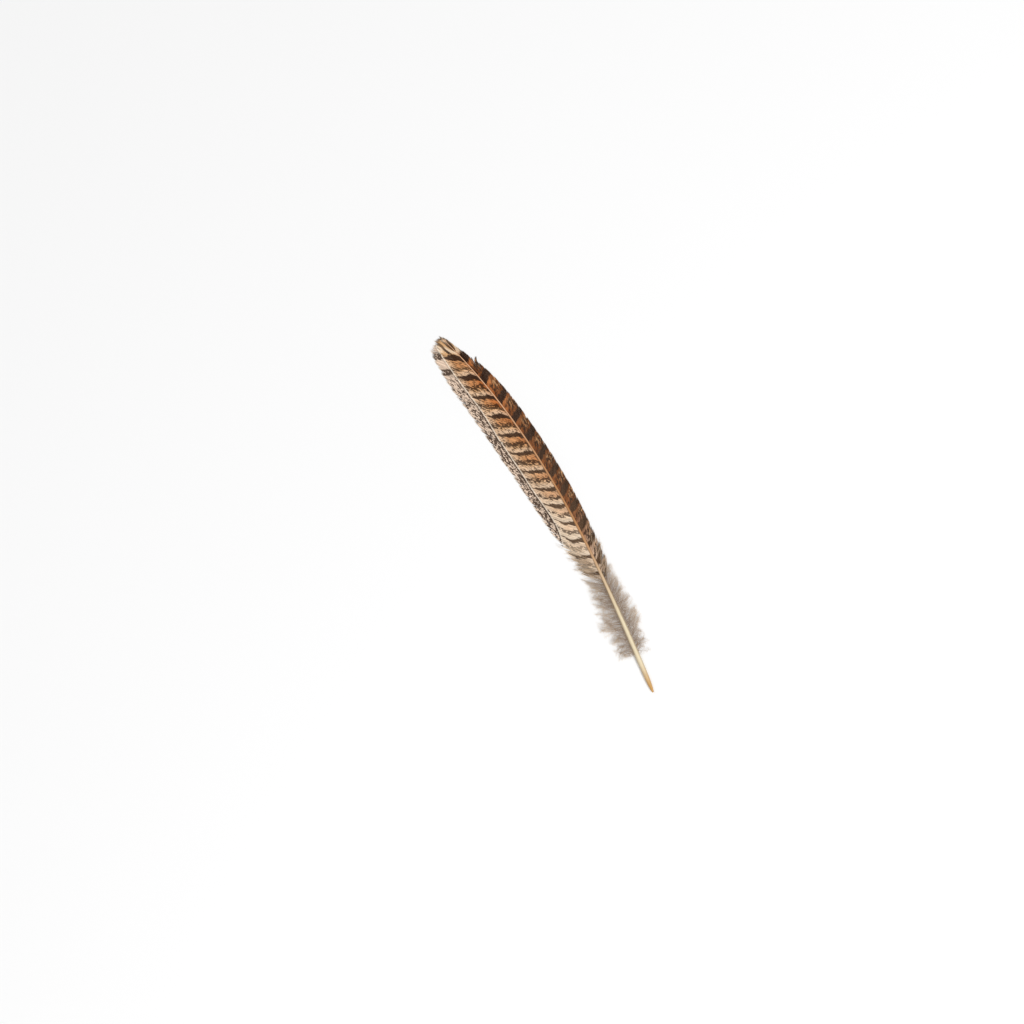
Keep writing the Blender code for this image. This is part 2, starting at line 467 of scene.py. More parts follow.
class Barbs:
    """Rows of points along barbs, in mm: one row for each barb, one column for each step."""

    def __init__(self, vane, locks, roots, steps):
        self.vane = vane
        self.roots = roots
        self.shares = np.linspace(0, 1, steps)
        i = np.searchsorted(locks["roots"], roots, side="right") - 1
        i = np.clip(i, 0, len(locks["short"]) - 1)
        start, end = locks["roots"][i], locks["roots"][i + 1]
        middle = (start + end) / 2
        edge = np.where(roots < middle, i, i + 1)
        off = 2 * np.abs(roots - middle) / (end - start)
        lock_gap = (locks["gap"][i] + locks["gap"][i + 1]) / 2
        gap = (lock_gap + (locks["gap"][edge] - lock_gap) * off)[:, None]
        past = np.clip(self.shares - gap, 0, None) / (1 - gap)
        short = locks["short"][i] + LOCK_ROUNDING * off
        r = self.shares - short[:, None] * past
        self.pulled = locks["pull"][edge][:, None] * past
        self.across_lock = ((roots - middle) / (end - start))[:, None]
        self.lock = i
        self.grown_down, self.grown_out = vane.barb_point(roots[:, None], r)
        mid_down, mid_out = vane.barb_point(middle[:, None], r)
        self.down = self.grown_down + (mid_down - self.grown_down) * self.pulled
        self.out = self.grown_out + (mid_out - self.grown_out) * self.pulled
        self.lift = np.zeros_like(self.down)

    def spacing(self):
        """How far apart neighbouring barbs lie, for each mm between their roots."""
        nudge = 0.05
        r = self.shares[None, :]
        before = np.stack(self.vane.barb_point(self.roots[:, None] - nudge, r))
        after = np.stack(self.vane.barb_point(self.roots[:, None] + nudge, r))
        step = (after - before) / (2 * nudge)
        way = np.gradient(np.stack([self.grown_down, self.grown_out]), axis=2)
        way /= np.maximum(np.linalg.norm(way, axis=0), 1e-6)
        return np.abs(step[0] * way[1] - step[1] * way[0]) * (1 - self.pulled)

    def points(self):
        height = self.vane.underside(self.down, self.out) + SHEET_THICKNESS / 2 + self.lift
        return place(self.down, self.vane.sign * self.out, np.maximum(height, LOWEST))

    def lengths(self):
        """Distance along each barb from its root to each point."""
        steps = np.linalg.norm(np.diff(self.points(), axis=1), axis=2)
        return np.concatenate([np.zeros((len(self.roots), 1)), np.cumsum(steps, axis=1)], 1)


def drift(chance, count, reach):
    """A wandering number for each of a row of neighbours, about as large as 1."""
    window = np.hanning(2 * reach + 1)
    raw = chance.normal(size=count + 2 * reach)
    return np.convolve(raw, window / np.sqrt((window ** 2).sum()), "valid")


def unit(vectors):
    return vectors / np.maximum(np.linalg.norm(vectors, axis=-1, keepdims=True), 1e-9)


def guide_object(name, points, attributes):
    """An object of loose lines in metres, one for each row of points, with attributes."""
    rows, steps = points.shape[:2]
    index = np.arange(rows * steps).reshape(rows, steps)
    edges = np.stack([index[:, :-1], index[:, 1:]], axis=-1).reshape(-1, 2)
    mesh = bpy.data.meshes.new(name)
    mesh.from_pydata((points.reshape(-1, 3) * MM).tolist(), edges.tolist(), [])
    for key, values in attributes.items():
        values = np.asarray(values, float).reshape(rows * steps, -1)
        flat = values.shape[1] == 1
        layer = mesh.attributes.new(key, "FLOAT" if flat else "FLOAT_VECTOR", "POINT")
        layer.data.foreach_set("value" if flat else "vector", values.ravel())
    piece = bpy.data.objects.new(name, mesh)
    bpy.context.scene.collection.objects.link(piece)
    return piece


def new_tree(name, sockets):
    """An empty geometry tree with named inputs, its maker and its inputs as wires."""
    group = bpy.data.node_groups.new(name, "GeometryNodeTree")
    sockets = {"Geometry": "NodeSocketGeometry", **sockets}
    for label, kind in sockets.items():
        group.interface.new_socket(name=label, in_out="INPUT", socket_type=kind)
    group.interface.new_socket(name="Geometry", in_out="OUTPUT",
                               socket_type="NodeSocketGeometry")
    maker = Maker(group)
    first = maker.add("NodeGroupInput")
    return group, maker, {label: first.other(label) for label in sockets}


def named(maker, name, kind="FLOAT_VECTOR"):
    return maker.add("GeometryNodeInputNamedAttribute", {"data_type": kind}, {"Name": name},
                     output="Attribute")


def store_position(maker, geometry, name):
    return maker.add("GeometryNodeStoreNamedAttribute",
                     {"data_type": "FLOAT_VECTOR", "domain": "POINT"},
                     {"Geometry": geometry, "Name": name,
                      "Value": maker.add("GeometryNodeInputPosition")})


def end_tree(maker, geometry, finish):
    real = maker.add("GeometryNodeRealizeInstances", values={"Geometry": geometry})
    done = maker.add("GeometryNodeSetMaterial", values={"Geometry": real, "Material": finish})
    maker.add("NodeGroupOutput", values={"Geometry": done})


def blade_tree():
    """Turns guide lines into closed four-sided blades, pointed at both ends."""
    group, maker, inputs = new_tree("blades_on_lines", {
        "Half width": "NodeSocketFloat", "Half depth": "NodeSocketFloat",
        "Finish": "NodeSocketMaterial"})
    lines = maker.add("GeometryNodeMeshToCurve", values={0: inputs["Geometry"]})
    lines = store_position(maker, lines, "centre")
    ring = maker.add("GeometryNodeCurvePrimitiveCircle", values={"Resolution": 4, "Radius": 1.0})
    ring = store_position(maker, ring, "profile")
    swept = maker.add("GeometryNodeCurveToMesh", values={"Curve": lines, "Profile Curve": ring})
    across, upper, _ = maker.split(named(maker, "profile"))
    width = across * named(maker, "width_share", "FLOAT") * inputs["Half width"]
    depth = upper * named(maker, "depth_share", "FLOAT") * inputs["Half depth"]
    sideways = maker.vectors("SCALE", named(maker, "side"), width)
    upwards = maker.vectors("SCALE", named(maker, "rise"), depth)
    offset = maker.vectors("ADD", sideways, upwards)
    spot = maker.vectors("ADD", named(maker, "centre"), offset)
    placed = maker.add("GeometryNodeSetPosition", values={"Geometry": swept, "Position": spot})
    closed = maker.add("GeometryNodeMergeByDistance",
                       values={"Geometry": placed, "Distance": SAME_POINT * MM})
    end_tree(maker, closed, inputs["Finish"])
    return group


def barbule_shape(maker, length, width):
    """One barbule: a thin curved spike that leaves along Z and bends towards X."""
    start = maker.join(0.0, 0.0, 0.0)
    bend = maker.join(length * 0.1, 0.0, length * 0.55)
    end = maker.join(length * 0.45, 0.0, length * 0.9)
    spike = maker.add("GeometryNodeCurveQuadraticBezier",
                      values={"Resolution": 4, "Start": start, "Middle": bend, "End": end})
    spike = maker.add("GeometryNodeResampleCurve", values={"Curve": spike, "Count": 3})
    thin = maker.add("GeometryNodeSetCurveRadius", values={
        "Curve": spike, "Radius": 1.0 - maker.add("GeometryNodeSplineParameter")})
    ring = maker.add("GeometryNodeCurvePrimitiveCircle", values={"Resolution": 3,
                                                                 "Radius": width})
    mesh = maker.add("GeometryNodeCurveToMesh", values={"Curve": thin, "Profile Curve": ring,
                                                        "Fill Caps": True})
    return maker.add("GeometryNodeMergeByDistance",
                     values={"Geometry": mesh, "Distance": SAME_POINT * MM})


def fluff_tree(blades):
    """Sweeps downy barbs as blades and sets barbules all round them."""
    group, maker, inputs = new_tree("down_on_lines", {
        "Half width": "NodeSocketFloat", "Half depth": "NodeSocketFloat",
        "Spacing": "NodeSocketFloat", "Barbule length": "NodeSocketFloat",
        "Barbule width": "NodeSocketFloat", "Seed": "NodeSocketInt",
        "Finish": "NodeSocketMaterial"})
    stems = maker.add("GeometryNodeGroup", {"node_tree": blades}, {
        label: inputs[label] for label in ("Geometry", "Half width", "Half depth", "Finish")})
    lines = maker.add("GeometryNodeMeshToCurve", values={0: inputs["Geometry"]})
    spots = maker.add("GeometryNodeCurveToPoints", {"mode": "LENGTH"},
                      {"Curve": lines, "Length": inputs["Spacing"]})

    def chance(low, high, seed):
        return maker.add("FunctionNodeRandomValue", {"data_type": "FLOAT"}, {
            RANDOM_MIN: low, RANDOM_MAX: high, RANDOM_SEED: inputs["Seed"] + seed},
            RANDOM_VALUE)

    roll = maker.join(0.0, 0.0, chance(0.0, 2 * math.pi, 1))
    lean = maker.join(0.0, chance(0.5, 1.15, 2), 0.0)
    turned = spots.other("Rotation")
    for euler in (roll, lean):
        by = maker.add("FunctionNodeEulerToRotation", values={0: euler})
        turned = maker.add("FunctionNodeRotateRotation", {"rotation_space": "LOCAL"},
                           {"Rotation": turned, "Rotate By": by})
    scale = chance(0.45, 1.0, 3) * named(maker, "fluff", "FLOAT")
    spike = barbule_shape(maker, inputs["Barbule length"], inputs["Barbule width"])
    barbules = maker.add("GeometryNodeInstanceOnPoints", values={
        "Points": spots, "Instance": spike, "Rotation": turned,
        "Scale": maker.join(scale, scale, scale)})
    both = maker.add("GeometryNodeJoinGeometry")
    for part in (barbules, stems):
        maker.tree.links.new(part.socket, both.socket.node.inputs[0])
    end_tree(maker, both, inputs["Finish"])
    return group


def run_tree(piece, group, values):
    """Runs a tree on an object with these inputs and keeps the result as its plain mesh."""
    modifier = piece.modifiers.new(group.name, "NODES")
    modifier.node_group = group
    sockets = {item.name: item.identifier for item in group.interface.items_tree
               if item.in_out == "INPUT"}
    for label, value in values.items():
        modifier[sockets[label]] = value
    seen = piece.evaluated_get(bpy.context.evaluated_depsgraph_get())
    mesh = bpy.data.meshes.new_from_object(seen)
    piece.modifiers.clear()
    piece.data = mesh
    if not len(mesh.polygons):
        raise RuntimeError(f"{group.name} made nothing of {piece.name}")


def read_vectors(mesh, name):
    values = np.empty(len(mesh.vertices) * 3)
    mesh.attributes[name].data.foreach_get("vector", values)
    return values.reshape(-1, 3)


def tidy_faces(mesh, sharp):
    """Turns every face outwards, keeps points off the surface and shades the mesh."""
    bm = bmesh.new()
    bm.from_mesh(mesh)
    for vert in bm.verts:
        vert.co.z = max(vert.co.z, LOWEST * MM)
    bmesh.ops.recalc_face_normals(bm, faces=bm.faces[:])
    bm.to_mesh(mesh)
    bm.free()
    mesh.shade_smooth()
    if sharp:
        mesh.set_sharp_from_angle(angle=math.radians(30))


def drop_attributes(mesh, names):
    for name in names:
        if name in mesh.attributes:
            mesh.attributes.remove(mesh.attributes[name])


def hand_over(piece, name):
    piece.name = name
    piece.data.name = name
    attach(piece, "root")
    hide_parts("feather")


def new_material(name, roughness, shine=0.5):
    """A material with its maker, its surface node and nothing linked yet."""
    material = bpy.data.materials.new(name)
    material.use_nodes = True
    surface = material.node_tree.nodes["Principled BSDF"]
    surface.inputs["Roughness"].default_value = roughness
    surface.inputs["Specular IOR Level"].default_value = shine
    return material, Maker(material.node_tree), surface


def feed(maker, surface, socket, wire):
    maker.tree.links.new(wire.socket, surface.inputs[socket])


class BarbMarks:
    """What a vane's barbs tell their material, and where its bars lie on them."""

    def __init__(self, maker):
        self.down, self.out, self.beyond = maker.stored("lie")
        self.root, self.along, self.chance = maker.stored("strand")
        self.across, self.height, _ = maker.stored("profile")
        self.rim = maker.stored("rim")[0]
        self.web = self.out / (self.out - self.beyond).math("MAXIMUM", 0.5)
        self.uneven = self.along + (self.chance - 0.5) * 0.9

    def count_bars(self, s, half):
        """Numbers the bars along s and makes their mask, where half is half their thickness.

        Period is the share of the way from one bar to the next, and halfway the distance in mm
        from the middle between them.
        """
        a, b, c = BAR_NUMBERS
        rate = s * (2 * a) + b
        self.s = s
        self.period = ((s * a + b) * s + c).math("FRACT")
        nearest = 0.5 - abs(self.period - 0.5)
        self.halfway = (0.5 - nearest) / rate
        self.bars = (half - nearest / rate).ramp(-0.2, 0.2) * s.ramp(7.0, 8.5)


def finish_vane(maker, surface, colour, barb, underside):
    """Darkens each barb towards its edges as painted shade between the barbs, with a painted
    highlight along its middle. Varies its tone along it, makes it paler and greyer below, and
    adds fine ribs as a bump.
    """
    edge = abs(barb.across)
    streaks = maker.noise(barb.root, barb.along, 3.0, (1.0, 12.0), 2.0) - 0.5
    # Painted shade: each barb is darker towards its edges, where it meets its neighbours, and a
    # little lighter along its middle as a painted highlight. The chance and the streaks are tone
    # that differs at random.
    light = 1.08 - edge * edge * 0.5 + (barb.chance - 0.5) * 0.26
    light = light * (1 + streaks)
    upper = barb.height.ramp(0.0, 0.35)
    colour = maker.mix(maker.mix(colour, underside, 0.62), colour, upper)
    feed(maker, surface, "Base Color", maker.vectors("SCALE", colour, light))
    ribs = (barb.along * 26.0 + edge * 3.0).math("SINE") * (1 - edge)
    bump = maker.add("ShaderNodeBump", values={"Strength": 0.25, "Distance": 0.02 * MM,
                                               "Height": ribs})
    feed(maker, surface, "Normal", bump)


def place_broad_bars(maker, barb, look):
    """Counts the broad vane's bars, which sag at the shaft and bend up near the pale line."""
    down, out, web = barb.down, barb.out, barb.web
    wander = maker.noise(down, out, 1.0, (6.0, 4.0), 1.0) - 0.5
    ragged = maker.noise(barb.root, barb.along, 2.0, (0.8, 3.0), 2.0) - 0.5
    hook = web.ramp(0.6, 1.05) * 1.3 + web.ramp(0.4, 1.15) * down.ramp(75, 105) * 3.0
    dip = (1 - out.ramp(0.2, 2.0)) * (1 - down.ramp(50, 85)) * 1.5
    s = down + out * BROAD_SLANT + hook - dip
    s = s + wander * 1.8 + ragged * 1.1 + (barb.chance - 0.5) * 0.7
    thin = ((FULL_BAR - s) / BROAD_THINNING).math("EXPONENT")
    half = look.last_bar / MM + (look.first_bar - look.last_bar) / MM * thin
    taper = 1 - web.ramp(0.5, 1.1) * 0.85
    barb.count_bars(s, half * taper)
    return half, ragged


def broad_ground(maker, barb, look):
    """Orange after each bar and buff before it, rusty at the shaft, all fading to cream."""
    down, out, web, s, period = barb.down, barb.out, barb.web, barb.s, barb.period
    orange = period.ramp(0.06, 0.16) * (1 - period.ramp(0.4, 0.62))
    orange = orange * (s.ramp(11, 14) * 0.55 + s.ramp(20, 25) * 0.45)
    high = 1 - down.ramp(62, 122)
    patch = maker.noise(down, out, 4.0, (5.0, 3.0), 1.0).ramp(0.3, 0.7)
    ground = maker.mix(look.cream, look.buff, high)
    warm = maker.mix(look.tan, look.buff, down.ramp(40, 80) * 0.3)
    ground = maker.mix(ground, warm, orange * (1 - web.ramp(0.45, 0.9) * 0.9)
                       * (0.15 + high * 0.75) * (0.65 + patch * 0.45))
    before = period.ramp(0.6, 0.8)
    pale = before.math("MAXIMUM", web.ramp(0.6, 0.95)) * s.ramp(12, 14)
    ground = maker.mix(ground, look.line, pale * 0.34)
    near = 1 - out.ramp(0.4, 3.6)
    rusty = near * (1 - down.ramp(40, 95)) * s.ramp(14, 26) * (0.3 + orange * 0.5)
    return maker.mix(ground, look.rust, rusty)


def broad_dashes(maker, barb, ragged):
    """A row of dashes halfway between each two bars, and smaller ones all over the web."""
    down, s, root, uneven = barb.down, barb.s, barb.root, barb.uneven
    specks = maker.noise(root, uneven, 5.0, (1.0, 1.9), 1.0)
    row = 1 - barb.halfway.ramp(0.7, 2.2 - down.ramp(30, 90) * 0.6)
    dense = 0.55 - row * 0.12 + down.ramp(60, 110) * 0.03
    dashes = ((specks - dense) / 0.04 + 0.5).ramp(0.0, 1.0) * row.ramp(0.0, 0.3)
    dashes = dashes * s.ramp(21, 26) * (1 - down.ramp(90, 128) * 0.4)
    first_row = (1 - abs(s - BROAD_FIRST_ROW).ramp(0.6, 1.5)) * ragged.ramp(-0.08, 0.0)
    small = maker.noise(root, uneven, 8.0, (0.85, 1.6), 0.5).ramp(0.54, 0.59)
    small = small * (1 - down.ramp(70, 105) * 0.85) * s.ramp(12, 15) * 0.8
    return dashes.math("MAXIMUM", first_row).math("MAXIMUM", small)


def freckled_margin(maker, barb, look, half):
    """A pale strip full of dark freckles, with two blotches near the tip."""
    down = barb.down
    dots = maker.noise(barb.root, barb.uneven, 9.0, (1.7, 1.2), 1.0)
    blotch = maker.noise(down, barb.out, 11.0, (5.0, 2.5), 1.0)
    dots = dots + (blotch - 0.5) * 0.3
    mottled = (dots + down.ramp(30, 56) * 0.055).ramp(0.515, 0.545) * down.ramp(17, 23)
    first, second = [1 - (abs(barb.s - spot) - half).ramp(-0.3, 0.5)
                     for spot in MARGIN_BLOTCHES]
    blocks = first.math("MAXIMUM", second) * (dots + 0.12).ramp(0.47, 0.53)
    mottled = mottled.math("MAXIMUM", blocks * down.ramp(3.5, 7.5))
    return maker.mix(look.margin, look.freckles, mottled * 0.92)


def broad_lines(maker, barb, look, colour, ragged):
    """The pale line with a dark line of painted shadow outside it, and the pale edge of the vane.
    """
    down, beyond = barb.down, barb.beyond
    there = 1 - down.ramp(112, 122)
    # Painted shadow: a dark, dashed line just outside the pale line, as if the barred web cast it
    # on the margin, in the colour of the bars.
    shadow = (1 - abs(beyond - 0.5).ramp(0.15, 0.45)) * (0.35 + down.ramp(20, 48) * 0.65)
    colour = maker.mix(colour, look.bars, shadow * there * (0.75 + ragged * 1.2))
    line = 1 - abs(beyond + 0.02).ramp(0.12, 0.34)
    colour = maker.mix(colour, look.line, line * there * 0.9)
    return maker.mix(colour, look.line, (1 - barb.rim.ramp(0.5, 1.3)) * down.ramp(5, 14) * 0.8)


def broad_material(look):
    """Slanted bars on an orange and buff web, a pale line and a freckled margin."""
    material, maker, surface = new_material("barred_web", 0.55, 0.12)
    barb = BarbMarks(maker)
    half, ragged = place_broad_bars(maker, barb, look)
    ground = broad_ground(maker, barb, look)
    ground = maker.mix(ground, look.freckles, broad_dashes(maker, barb, ragged) * 0.9)
    ground = streaked_tip(maker, barb, look, ground)
    dark_bars = maker.mix(look.bars, look.low_bars, barb.down.ramp(25, 120))
    ground = maker.mix(ground, dark_bars, barb.bars * 0.95)
    margin = freckled_margin(maker, barb, look, half)
    colour = maker.mix(margin, ground, 1 - barb.beyond.ramp(-0.12, 0.06))
    colour = broad_lines(maker, barb, look, colour, ragged)
    finish_vane(maker, surface, colour, barb, look.underside)
    return material


def streaked_tip(maker, barb, look, ground):
    """Dark and pale streaks run along the tip as far as the first bar, under a dark cap."""
    down, s = barb.down, barb.s
    before_bars = 1 - s.ramp(10.0, 12.5)
    ground = maker.mix(ground, look.sand, before_bars)
    across = barb.out + down * 0.2
    pale = maker.noise(across, down, 17.0, (1.5, 8.0), 0.5).ramp(0.46, 0.54)
    ground = maker.mix(ground, look.cream, pale * before_bars * 0.8)
    dark = maker.noise(across, down, 7.0, (1.2, 6.0), 0.5).ramp(0.48, 0.53)
    dark = dark * (1 - s.ramp(11.0, 14.0)) * (0.75 + down.ramp(5, 10) * 0.2)
    ground = maker.mix(ground, look.freckles, dark)
    return maker.mix(ground, look.freckles, (1 - down.ramp(1.5, 4.0)) * 0.7)


def place_narrow_bars(maker, barb):
    """Counts the narrow vane's bars, which lag behind those of the broad vane."""
    down, out = barb.down, barb.out
    wander = maker.noise(down, out, 21.0, (5.0, 3.0), 1.0) - 0.5
    ragged = maker.noise(barb.root, barb.along, 22.0, (0.9, 2.4), 2.0) - 0.5
    s = down + out * NARROW_SLANT - NARROW_LAG[0] - down.ramp(12, 40) * NARROW_LAG[1]
    s = s + wander * 2.4 + ragged * 1.6 + (barb.chance - 0.5) * 0.8
    thin = ((FULL_BAR - s) / NARROW_THINNING).math("EXPONENT")
    barb.count_bars(s, 1.45 + thin * 0.75)


def narrow_ground(maker, barb, look):
    """Chestnut, orange after each bar, with pale spots between the bars near the edge. Darker and
    duller further down as painted shade.
    """
    down, web, period = barb.down, barb.web, barb.period
    orange = period.ramp(0.1, 0.2) * (1 - period.ramp(0.45, 0.65)) * barb.s.ramp(11.0, 14.0)
    high = 1 - down.ramp(95, 132)
    ground = maker.mix(look.cream, look.chestnut, 0.3 + high * 0.7)
    # Painted shade: further down, the narrow vane is darkened with the freckles' brown and its
    # orange dulled, as where it lies in shadow beside its neighbours.
    shade = down.ramp(36, 62)
    orange = orange * (1 - web.ramp(0.3, 1.0)) * high * (1 - shade * 0.6)
    ground = maker.mix(ground, look.tan, orange)
    ground = maker.mix(ground, look.rust, (1 - barb.out.ramp(0.3, 2.0)) * high * 0.6)
    ground = maker.mix(ground, look.freckles, shade * (1 - down.ramp(95, 125)) * 0.35)
    spot = (1 - abs(barb.halfway - 0.3).ramp(0.9, 2.2)) * web.ramp(0.35, 0.7)
    speck = maker.noise(barb.root, barb.uneven, 25.0, (1.4, 1.8), 1.5)
    return maker.mix(ground, look.buff, spot * speck.ramp(0.46, 0.56) * 0.85)


def narrow_blotches(maker, barb):
    """Cloudy dark blotches between the bars, and a dark band after the first bar."""
    clouds = maker.noise(barb.root, barb.uneven, 27.0, (1.5, 2.4), 1.5)
    middle = barb.period.ramp(0.22, 0.42) * (1 - barb.period.ramp(0.7, 0.88))
    first_row = 1 - abs(barb.s - NARROW_FIRST_ROW).ramp(0.8, 1.8)
    dark = clouds.ramp(0.46, 0.53) * middle.math("MAXIMUM", first_row)
    return dark.math("MAXIMUM", first_row * (0.55 + barb.web.ramp(0.1, 0.5) * 0.45))


def narrow_material(look):
    """Broad dark blotches on a chestnut web with pale spots near the edge."""
    material, maker, surface = new_material("chestnut_web", 0.55, 0.12)
    barb = BarbMarks(maker)
    place_narrow_bars(maker, barb)
    ground = narrow_ground(maker, barb, look)
    ground = maker.mix(ground, look.freckles, narrow_blotches(maker, barb) * 0.92)
    ground = streaked_tip(maker, barb, look, ground)
    dark_bars = maker.mix(look.bars, look.low_bars, barb.down.ramp(40, 130))
    ground = maker.mix(ground, dark_bars, barb.bars)
    colour = maker.mix(ground, look.line, (1 - barb.rim.ramp(0.15, 0.6)) * 0.5)
    tuft = barb.down.ramp(TUFT_PLACE - 1.4, TUFT_PLACE - 1) * (1 - barb.down.ramp(20.5, 21.5))
    colour = maker.mix(colour, look.bars, tuft * barb.web.ramp(0.75, 0.92))
    finish_vane(maker, surface, colour, barb, look.underside)
    return material


def shaft_material(look):
    """Warm at the tip, ivory on the quill, honey-coloured at its end, and browner at the sides,
    partly its own brown and partly painted shade where the round shaft turns away from the light.
    """
    material, maker, surface = new_material("polished_shaft", 0.36)
    coordinates = maker.add("ShaderNodeTexCoord", output="Object")
    x, y, z = maker.split(coordinates)
    down = LENGTH / 2 - x / MM
    upwards, groove, _ = maker.stored("round")
    grain = maker.add("ShaderNodeTexNoise", values={
        "Vector": maker.join(x * 150.0, y * 6000.0, z * 6000.0), "Scale": 1.0, "Detail": 3.0})
    colour = maker.mix(look.tip, look.middle, down.ramp(15, 95))
    colour = maker.mix(colour, look.quill, down.ramp(105, 160))
    # Browner where the surface turns sideways: partly the shaft's own brown and partly painted
    # shade on its round sides.
    sides = (1 - upwards.ramp(0.55, 0.95)) * (0.85 - down.ramp(115, 165) * 0.6)
    colour = maker.mix(colour, look.sides, sides)
    colour = maker.mix(colour, look.end, down.ramp(174, 189.5))
    colour = maker.mix(colour, look.groove, groove * 0.7)
    light = 0.8 + grain * 0.4
    feed(maker, surface, "Base Color", maker.vectors("SCALE", colour, light))
    feed(maker, surface, "Roughness", 0.28 + grain * 0.16)
    bump = maker.add("ShaderNodeBump", values={"Strength": 0.3, "Distance": 0.03 * MM,
                                               "Height": grain})
    feed(maker, surface, "Normal", bump)
    return material


def down_material(look):
    """Soft grey-brown that pales towards the tips."""
    material, maker, surface = new_material("soft_down", 0.85)
    root, along, chance = maker.stored("strand")
    patch = maker.noise(root, along, 31.0, (3.0, 4.0), 2.0)
    pale = along.ramp(1.0, 10.0) * 0.6 + patch.ramp(0.4, 0.7) * 0.25 + (chance - 0.5) * 0.3
    colour = maker.mix(look.base, look.tips, pale)
    feed(maker, surface, "Base Color", colour)
    surface.inputs["Sheen Weight"].default_value = 0.25
    return material


def build_shaft():
    """The shaft as one loft: a groove below, a bare quill and a small opening at its end."""
    turns = 2 * math.pi * np.arange(SHAFT_SIDES) / SHAFT_SIDES
    spots = [*np.linspace(SHAFT_START, LAST_TAPER[0], SHAFT_RINGS[0]),
             *np.linspace(LAST_TAPER[1], LENGTH, SHAFT_RINGS[1])]
    rings = [(down, 1.0) for down in spots]
    rings += [(LENGTH - inside, scale) for inside, scale in QUILL_OPENING]
    end_radius = soft_curve(SHAFT_RADIUS, LENGTH)
    bm = bmesh.new()
    marks = bm.verts.layers.float_vector.new("round")
    loops = []
    for down, scale in rings:
        radius = soft_curve(SHAFT_RADIUS, down) if scale == 1 else end_radius * scale
        below = np.exp(-((np.sin(turns) + 1) / GROOVE_SPREAD) ** 2)
        groove = soft_curve(SHAFT_GROOVE, down) * below
        swell = sum((swing * math.sin(down * rate) for swing, rate in SWELLS), 1)
        shoulder = 1 - SHOULDER * np.maximum(np.sin(turns), 0)
        out = radius * np.cos(turns) * shoulder * swell
        height = soft_curve(SHAFT_HEIGHT, down) + radius * (np.sin(turns) + groove) * swell
        ring = []
        points = place(np.full(SHAFT_SIDES, down), out, height)
        for point, mark, upwards in zip(points, groove, np.sin(turns)):
            vert = bm.verts.new(Vector(point) * MM)
            vert[marks] = (upwards, min(mark * 2, 1), 0)
            ring.append(vert)
        loops.append(ring)
    for ring, following in zip(loops, loops[1:]):
        for k in range(SHAFT_SIDES):
            j = (k + 1) % SHAFT_SIDES
            bm.faces.new((ring[k], ring[j], following[j], following[k]))
    bm.faces.new(loops[0])
    bm.faces.new(loops[-1])
    bmesh.ops.recalc_face_normals(bm, faces=bm.faces[:])
    mesh = bpy.data.meshes.new("shaft")
    bm.to_mesh(mesh)
    bm.free()
    mesh.shade_smooth()
    mesh.set_sharp_from_angle(angle=math.radians(60))
    piece = bpy.data.objects.new("shaft", mesh)
    bpy.context.scene.collection.objects.link(piece)
    return piece


def frames_along(points):
    """Unit vectors sideways in the vane and up from it, for rows of points."""
    way = unit(np.gradient(points, axis=1))
    side = unit(np.cross(np.array([0, 0, 1.0]), way))
    return side, unit(np.cross(way, side))


def loosen(barbs, chance, stray_barbs):
    """Lets barbs sway with their neighbours and some stray, and says how far each one strays."""
    count = len(barbs.roots)
    loose = soft_curve(LOOSENESS, barbs.roots)[:, None]
    together = drift(chance, count, 5)[:, None] * SWAY_TOGETHER
    sway = together + chance.normal(size=(count, 1)) * SWAY_ALONE
    stray = (chance.random((count, 1)) < stray_barbs) * chance.normal(size=(count, 1))
    r = barbs.shares
    barbs.down = barbs.down + (sway * loose * r ** 2.5 + stray * STRAY_REACH * r ** 4)
    return stray


def shorten(barbs, chance, fray):
    """Lets barbs end a little early, most of all at the tip, and breaks off a few."""
    each = (len(barbs.roots), 1)
    trim = 1 - np.abs(chance.normal(size=each)) * (SHORTENING[0] + SHORTENING[1] * fray)
    broken = np.where(chance.random(each) < BROKEN_SHARE,
                      chance.uniform(*BROKEN_LENGTHS, each), 1)
    blunt = 1 - soft_curve(TIP_TRIM, barbs.roots)[:, None] * chance.uniform(0.6, 1, each)
    keep = np.minimum(trim, broken) * blunt
    covered = 1 - (1 - keep) * barbs.shares
    barbs.down = barbs.roots[:, None] + (barbs.down - barbs.roots[:, None]) * covered
    barbs.out = barbs.out * covered


def add_tuft(barbs, chance):
    """Lets the barbs that end close to the tuft's place stick out together."""
    in_tuft = np.abs(barbs.grown_down[:, -1:] - TUFT_PLACE) < TUFT_SPREAD
    stick_out = in_tuft * barbs.shares ** 6
    length = chance.uniform(0.75, 1, (len(barbs.roots), 1))
    barbs.out = barbs.out + stick_out * length * TUFT_REACH
    barbs.down = barbs.down + stick_out * (TUFT_PLACE - barbs.down[:, -1:])


def raise_barbs(barbs, chance, lock_count, stray):
    """Tilts whole locks, heaves single barbs and lets every root climb onto the shaft."""
    r = barbs.shares
    tilt = chance.normal(size=lock_count)[barbs.lock][:, None]
    heave = chance.normal(size=(len(barbs.roots), 1)) * BARB_HEAVE
    barbs.lift = (tilt * barbs.across_lock * LOCK_TILT + heave
                  + np.abs(stray) * STRAY_LIFT * r) * r ** 1.5
    radius = soft_curve(SHAFT_RADIUS, barbs.down)
    climb = np.exp(-(barbs.out / (1.3 * radius + 0.5)) ** 2)
    barbs.lift = barbs.lift + CLIMB_ON_SHAFT * radius * climb


